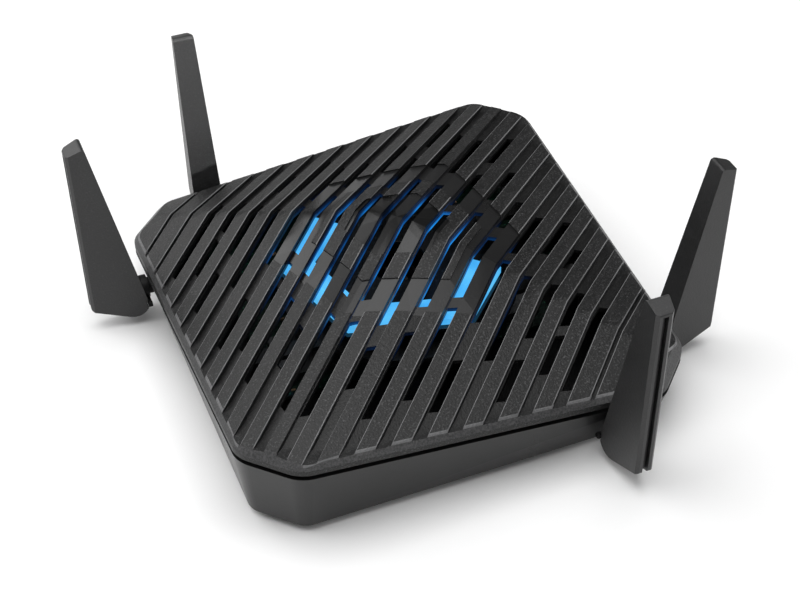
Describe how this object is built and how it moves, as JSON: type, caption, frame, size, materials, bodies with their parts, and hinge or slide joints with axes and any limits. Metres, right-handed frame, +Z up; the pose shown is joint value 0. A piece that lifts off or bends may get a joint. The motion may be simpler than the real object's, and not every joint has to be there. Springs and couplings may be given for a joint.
{
  "type": "wireless router",
  "caption": "Square desktop wireless router with cut corners, a ribbed pyramid cover lit from inside, rear sockets, and a folding blade antenna on each side.",
  "frame": {"origin": "centre of the footprint at desk level, with the feet on z = 0", "axes": "+Z up; the side walls face +X, -X, +Y and -Y; the sockets are in the +Y wall and the buttons in the +X wall; the ribs run from corner (-X, -Y) to corner (+X, +Y)"},
  "size_m": [0.2684, 0.2684, 0.1065],
  "materials": {
    "satin_plastic": "satin dark grey",
    "ribbed_plastic": "fine-grained charcoal",
    "black_plastic": "matte black",
    "antenna_plastic": "fine-grained charcoal",
    "circuit_board": "green solder mask",
    "light_board": "dark solder mask",
    "light_guide": "clear plastic lit blue",
    "thermal_pad": "soft grey",
    "heatsink": "bare extruded",
    "tinplate": "bright tinplate",
    "screw_steel": "zinc plated",
    "socket_blue": "blue moulded",
    "socket_black": "black moulded",
    "button_plastic": "satin black",
    "foot_rubber": "matte black rubber",
    "label_film": "printed film",
    "radiator_copper": "gold-plated board"
  },
  "bodies": {
    "housing": {"base_tub": "satin_plastic", "top_cover": "ribbed_plastic", "inner_frame": "black_plastic", "light_board": "light_board", "light_guide": "light_guide", "main_board": "circuit_board", "thermal_pad": "thermal_pad", "heatsink": "heatsink", "shield_can_a": "tinplate", "shield_can_b": "tinplate", "wan_jack": "socket_blue", "lan_jack_1": "socket_black", "lan_jack_2": "socket_black", "lan_jack_3": "socket_black", "lan_jack_4": "socket_black", "dc_jack": "socket_black", "usb_port": "tinplate", "power_switch": "black_plastic", "wps_switch": "black_plastic", "reset_switch": "black_plastic", "foot_1": "foot_rubber", "foot_2": "foot_rubber", "foot_3": "foot_rubber", "foot_4": "foot_rubber", "base_screw_1": "screw_steel", "base_screw_2": "screw_steel", "base_screw_3": "screw_steel", "base_screw_4": "screw_steel", "rating_label": "label_film", "antenna_left_washer": "screw_steel", "antenna_back_washer": "screw_steel", "antenna_right_washer": "screw_steel", "antenna_front_washer": "screw_steel"},
    "power_button": {"power_button": "button_plastic"},
    "wps_button": {"wps_button": "button_plastic"},
    "reset_button": {"reset_button": "button_plastic"},
    "antenna_left": {"antenna_left_blade": "antenna_plastic", "antenna_left_spine": "black_plastic", "antenna_left_element": "radiator_copper", "antenna_left_pivot": "black_plastic"},
    "antenna_back": {"antenna_back_blade": "antenna_plastic", "antenna_back_spine": "black_plastic", "antenna_back_element": "radiator_copper", "antenna_back_pivot": "black_plastic"},
    "antenna_right": {"antenna_right_blade": "antenna_plastic", "antenna_right_spine": "black_plastic", "antenna_right_element": "radiator_copper", "antenna_right_pivot": "black_plastic"},
    "antenna_front": {"antenna_front_blade": "antenna_plastic", "antenna_front_spine": "black_plastic", "antenna_front_element": "radiator_copper", "antenna_front_pivot": "black_plastic"}
  },
  "joints": [
    {"name": "antenna_left_fold", "type": "hinge", "parent": "housing", "child": "antenna_left", "pos_m": [-0.10536, 0.0598, 0.0175], "axis": [-1, 0, 0], "range_deg": [-90, 90]},
    {"name": "antenna_back_fold", "type": "hinge", "parent": "housing", "child": "antenna_back", "pos_m": [-0.0598, 0.10536, 0.0175], "axis": [0, 1, 0], "range_deg": [-90, 90]},
    {"name": "antenna_right_fold", "type": "hinge", "parent": "housing", "child": "antenna_right", "pos_m": [0.10536, -0.0598, 0.0175], "axis": [1, 0, 0], "range_deg": [-90, 90]},
    {"name": "antenna_front_fold", "type": "hinge", "parent": "housing", "child": "antenna_front", "pos_m": [0.0598, -0.10536, 0.0175], "axis": [0, -1, 0], "range_deg": [-90, 90]},
    {"name": "power_button_press", "type": "slide", "parent": "housing", "child": "power_button", "axis": [-1, 0, 0], "range_m": [0, 0.0012], "stiffness_N_per_m": 400, "springref_m": -0.001},
    {"name": "wps_button_press", "type": "slide", "parent": "housing", "child": "wps_button", "axis": [-1, 0, 0], "range_m": [0, 0.0012], "stiffness_N_per_m": 400, "springref_m": -0.001},
    {"name": "reset_button_press", "type": "slide", "parent": "housing", "child": "reset_button", "axis": [0, -1, 0], "range_m": [0, 0.0012], "stiffness_N_per_m": 300, "springref_m": -0.001}
  ]
}
